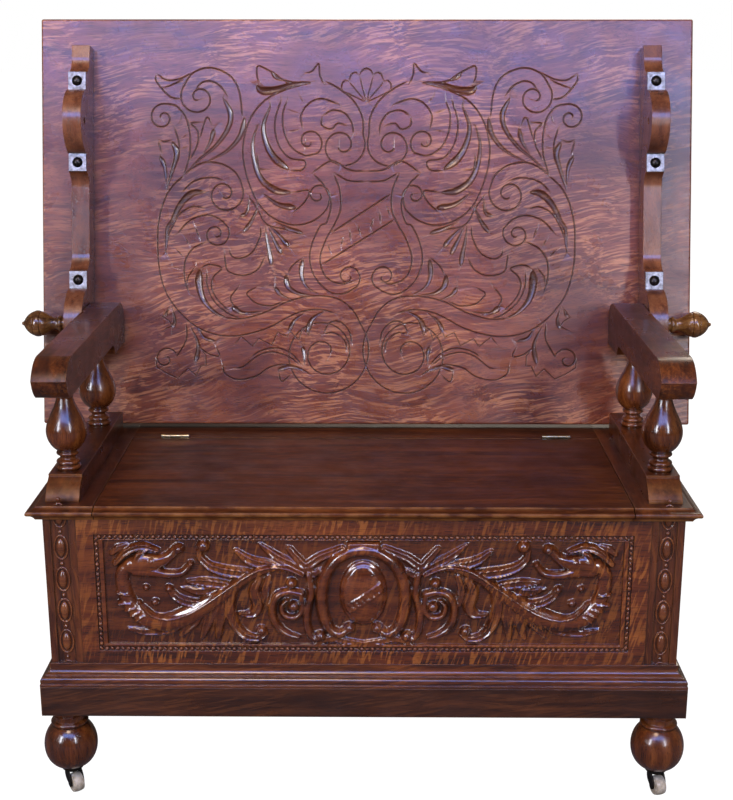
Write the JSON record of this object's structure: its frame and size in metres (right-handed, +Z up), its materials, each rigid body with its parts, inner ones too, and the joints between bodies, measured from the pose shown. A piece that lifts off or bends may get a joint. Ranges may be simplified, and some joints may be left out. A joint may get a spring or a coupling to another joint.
{
  "type": "monk's bench",
  "caption": "Carved oak settle with a lift-lid chest seat, turned arm supports and a tall back board that tips forward over the arms to make a table; on small casters.",
  "frame": {"origin": "middle of the footprint of the whole bench, on the floor under the casters", "axes": "+X to the right of someone facing the bench's front, +Y to the back, +Z up"},
  "size_m": [1.199, 0.6118, 1.1861],
  "materials": {
    "board_oak": "gloss varnish over dark stain, quartersawn figure",
    "frame_oak": "gloss varnish over dark stain, worn on the edges",
    "plate_steel": "dull, aged",
    "hinge_brass": "pale, worn",
    "caster_iron": "dark, oiled",
    "wheel_composition": "worn beige composition"
  },
  "bodies": {
    "base": {"right_arm": "frame_oak", "left_arm": "frame_oak", "right_arm_rail": "frame_oak", "left_arm_rail": "frame_oak", "right_front_baluster": "frame_oak", "left_front_baluster": "frame_oak", "right_rear_baluster": "frame_oak", "left_rear_baluster": "frame_oak", "right_seat_end": "frame_oak", "left_seat_end": "frame_oak", "seat_rear_rail": "frame_oak", "lid_hinge_rail_leaves": "hinge_brass", "lid_hinge_pins": "hinge_brass", "lid_hinge_rail_screws": "plate_steel", "right_front_stile": "frame_oak", "left_front_stile": "frame_oak", "right_rear_stile": "frame_oak", "left_rear_stile": "frame_oak", "front_panel": "frame_oak", "right_side_panel": "frame_oak", "left_side_panel": "frame_oak", "back_panel": "frame_oak", "chest_floor": "frame_oak", "inner_blocks": "frame_oak", "plinth_front": "frame_oak", "plinth_back": "frame_oak", "right_plinth_side": "frame_oak", "left_plinth_side": "frame_oak", "base_moulding_front": "frame_oak", "right_base_moulding": "frame_oak", "left_base_moulding": "frame_oak", "bun_foot_front_left": "frame_oak", "bun_foot_rear_left": "frame_oak", "bun_foot_front_right": "frame_oak", "bun_foot_rear_right": "frame_oak", "caster_cups": "caster_iron"},
    "table": {"table_top": "board_oak", "left_batten": "frame_oak", "left_batten_plates": "plate_steel", "left_batten_bolts": "plate_steel", "right_batten": "frame_oak", "right_batten_plates": "plate_steel", "right_batten_bolts": "plate_steel"},
    "lid": {"seat_lid": "frame_oak", "lid_hinge_lid_leaves": "hinge_brass", "lid_hinge_lid_screws": "plate_steel"},
    "left_peg": {"left_pivot_peg": "frame_oak"},
    "right_peg": {"right_pivot_peg": "frame_oak"},
    "swivel_front_left": {"caster_horn_front_left": "caster_iron", "caster_axle_front_left": "caster_iron"},
    "wheel_front_left": {"caster_wheel_front_left": "wheel_composition"},
    "swivel_rear_left": {"caster_horn_rear_left": "caster_iron", "caster_axle_rear_left": "caster_iron"},
    "wheel_rear_left": {"caster_wheel_rear_left": "wheel_composition"},
    "swivel_front_right": {"caster_horn_front_right": "caster_iron", "caster_axle_front_right": "caster_iron"},
    "wheel_front_right": {"caster_wheel_front_right": "wheel_composition"},
    "swivel_rear_right": {"caster_horn_rear_right": "caster_iron", "caster_axle_rear_right": "caster_iron"},
    "wheel_rear_right": {"caster_wheel_rear_right": "wheel_composition"}
  },
  "joints": [
    {"name": "table_tip", "type": "hinge", "parent": "base", "child": "table", "pos_m": [0, 0.12499, 0.6755], "axis": [1, 0, 0], "range_deg": [0, 103.5]},
    {"name": "lid_hinge", "type": "hinge", "parent": "base", "child": "lid", "pos_m": [0, 0.06371, 0.48975], "axis": [1, 0, 0], "range_deg": [-105, 0]},
    {"name": "left_peg_slide", "type": "slide", "parent": "base", "child": "left_peg", "axis": [-1, 0, 0], "range_m": [0, 0.09]},
    {"name": "right_peg_slide", "type": "slide", "parent": "base", "child": "right_peg", "axis": [1, 0, 0], "range_m": [0, 0.09]},
    {"name": "swivel_turn_front_left", "type": "hinge", "parent": "base", "child": "swivel_front_left", "pos_m": [-0.464, -0.26109, 0.0376], "axis": [0, 0, 1], "continuous": true},
    {"name": "wheel_turn_front_left", "type": "hinge", "parent": "swivel_front_left", "child": "wheel_front_left", "pos_m": [-0.45798, -0.26908, 0.0155], "axis": [0.7986, 0.6018, 0], "continuous": true},
    {"name": "swivel_turn_rear_left", "type": "hinge", "parent": "base", "child": "swivel_rear_left", "pos_m": [-0.464, 0.11761, 0.0376], "axis": [0, 0, 1], "continuous": true},
    {"name": "wheel_turn_rear_left", "type": "hinge", "parent": "swivel_rear_left", "child": "wheel_rear_left", "pos_m": [-0.45798, 0.10962, 0.0155], "axis": [0.7986, 0.6018, 0], "continuous": true},
    {"name": "swivel_turn_front_right", "type": "hinge", "parent": "base", "child": "swivel_front_right", "pos_m": [0.464, -0.26109, 0.0376], "axis": [0, 0, 1], "continuous": true},
    {"name": "wheel_turn_front_right", "type": "hinge", "parent": "swivel_front_right", "child": "wheel_front_right", "pos_m": [0.46692, -0.27065, 0.0155], "axis": [0.9563, 0.2924, 0], "continuous": true},
    {"name": "swivel_turn_rear_right", "type": "hinge", "parent": "base", "child": "swivel_rear_right", "pos_m": [0.464, 0.11761, 0.0376], "axis": [0, 0, 1], "continuous": true},
    {"name": "wheel_turn_rear_right", "type": "hinge", "parent": "swivel_rear_right", "child": "wheel_rear_right", "pos_m": [0.46692, 0.10805, 0.0155], "axis": [0.9563, 0.2924, 0], "continuous": true}
  ]
}
